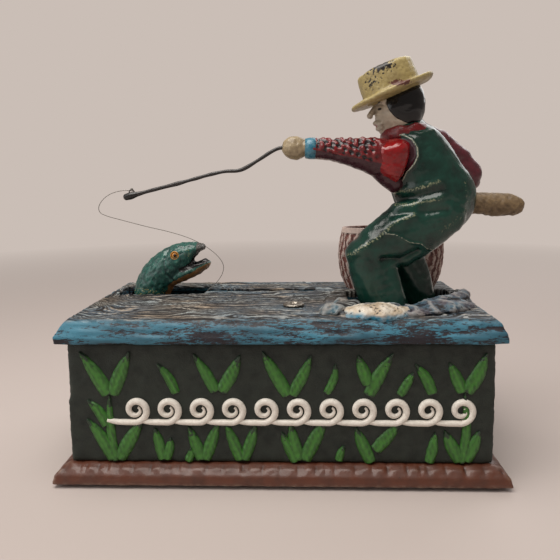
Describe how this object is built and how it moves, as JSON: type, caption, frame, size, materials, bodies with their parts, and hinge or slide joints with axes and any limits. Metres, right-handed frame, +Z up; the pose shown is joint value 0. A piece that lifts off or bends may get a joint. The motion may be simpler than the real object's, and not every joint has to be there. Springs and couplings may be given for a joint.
{
  "type": "mechanical bank",
  "caption": "Painted cast-iron mechanical bank: pressing the handle rocks a fisherman back as a fish swings up and tips a coin into a creel.",
  "frame": {"origin": "centre of the whole bank's footprint, on the surface that it stands on", "axes": "+X to the right towards the handle, +Y from front to rear, +Z up"},
  "size_m": [0.2776, 0.1336, 0.2383],
  "materials": {
    "plinth_brown": "brown enamel, worn at the edges",
    "wall_green": "dark green enamel with bright green raised reeds",
    "water_blue": "blue enamel dry-brushed with grey over black",
    "bare_iron": "dark, slightly rusted",
    "steel_screw": "dull zinc",
    "wader_enamel": "glossy dark green enamel",
    "sleeve_enamel": "glossy maroon enamel",
    "handle_tan": "speckled tan paint",
    "rod_black": "satin black enamel",
    "fish_enamel": "green enamel over ochre",
    "creel_brown": "brown enamel dry-brushed with pink grey",
    "pad_rubber": "matt",
    "nylon": "clear monofilament",
    "spring_steel": "bright wire"
  },
  "bodies": {
    "box": {"plinth": "plinth_brown", "foot_front_left": "pad_rubber", "foot_front_right": "pad_rubber", "foot_rear_left": "pad_rubber", "foot_rear_right": "pad_rubber", "coin_trap_rivet": "steel_screw", "box_wall": "wall_green", "water_deck": "water_blue", "deck_bolt": "steel_screw", "corner_screw": "bare_iron", "creel": "creel_brown", "creel_screw": "steel_screw", "return_spring": "spring_steel", "fishing_line": "nylon"},
    "fisherman": {"fisherman_near_half": "wader_enamel", "fisherman_far_half": "wader_enamel", "figure_rivet_upper": "steel_screw", "figure_rivet_lower": "steel_screw", "far_arm": "sleeve_enamel", "handle": "handle_tan", "fishing_rod": "rod_black", "figure_shaft": "steel_screw", "tail_lever": "bare_iron"},
    "fish": {"fish_arm": "bare_iron", "fish_shaft": "steel_screw", "crank_pin": "steel_screw", "fish_near_half": "fish_enamel", "fish_far_half": "fish_enamel", "fish_rivet": "steel_screw"},
    "coin_trap": {"coin_trap_cover": "bare_iron"}
  },
  "joints": [
    {"name": "fisherman_rock", "type": "hinge", "parent": "box", "child": "fisherman", "pos_m": [0.06025, -0.008, 0.074], "axis": [0, 1, 0], "range_deg": [0, 16], "stiffness_Nm_per_rad": 1.2, "springref_deg": -34.38, "deforming": ["return_spring", "fishing_line"]},
    {"name": "fish_swing", "type": "hinge", "parent": "box", "child": "fish", "pos_m": [0.00325, 0.027, 0.074], "axis": [0, 1, 0], "range_deg": [0, 94.5]},
    {"name": "coin_trap_turn", "type": "hinge", "parent": "box", "child": "coin_trap", "pos_m": [-0.06175, -0.022, 0.0031], "axis": [0, 0, 1], "range_deg": [0, 90]}
  ],
  "couplings": [
    {"joint": "fish_swing", "follows": "fisherman_rock", "ratio": 5.875}
  ]
}
